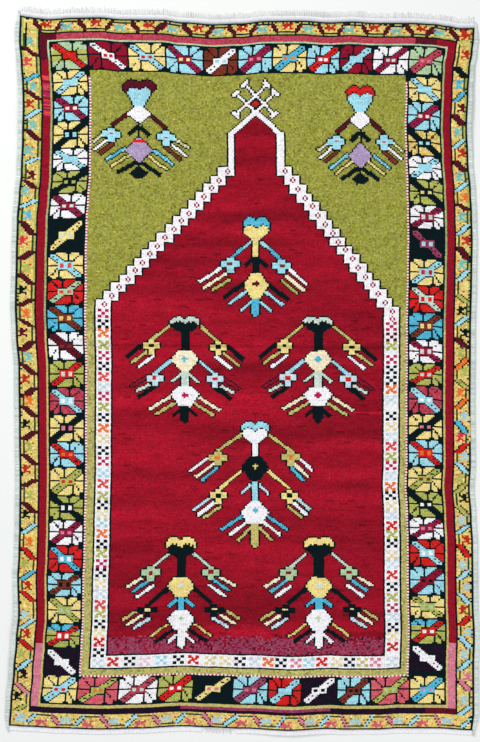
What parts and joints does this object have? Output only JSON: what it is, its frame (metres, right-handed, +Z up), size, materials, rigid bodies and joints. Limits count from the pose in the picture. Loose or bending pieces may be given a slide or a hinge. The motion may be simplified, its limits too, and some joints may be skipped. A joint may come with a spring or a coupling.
{
  "type": "turkish prayer rug",
  "caption": "Hand-knotted prayer rug with stepped niche and rosette borders, laid flat, with selvedges, webs and short cut fringe.",
  "frame": {"origin": "under the middle of the whole rug, on the floor that it lies on", "axes": "+Y up the niche towards the rug's top, +X to the niche's right, +Z up out of the pile"},
  "size_m": [1.151, 1.7674, 0.0133],
  "materials": {
    "wool_pile": "dense cut wool pile, crimson field with olive spandrels and many-coloured borders",
    "web": "flat-woven undyed web",
    "selvedge": "overcast grey-green wool cords",
    "warp": "cut undyed warp ends"
  },
  "bodies": {
    "root": {"knotted_body": "wool_pile", "web_top": "web", "web_bottom": "web", "selvedge_left": "selvedge", "selvedge_right": "selvedge", "fringe_top": "warp", "fringe_bottom": "warp"}
  },
  "joints": []
}
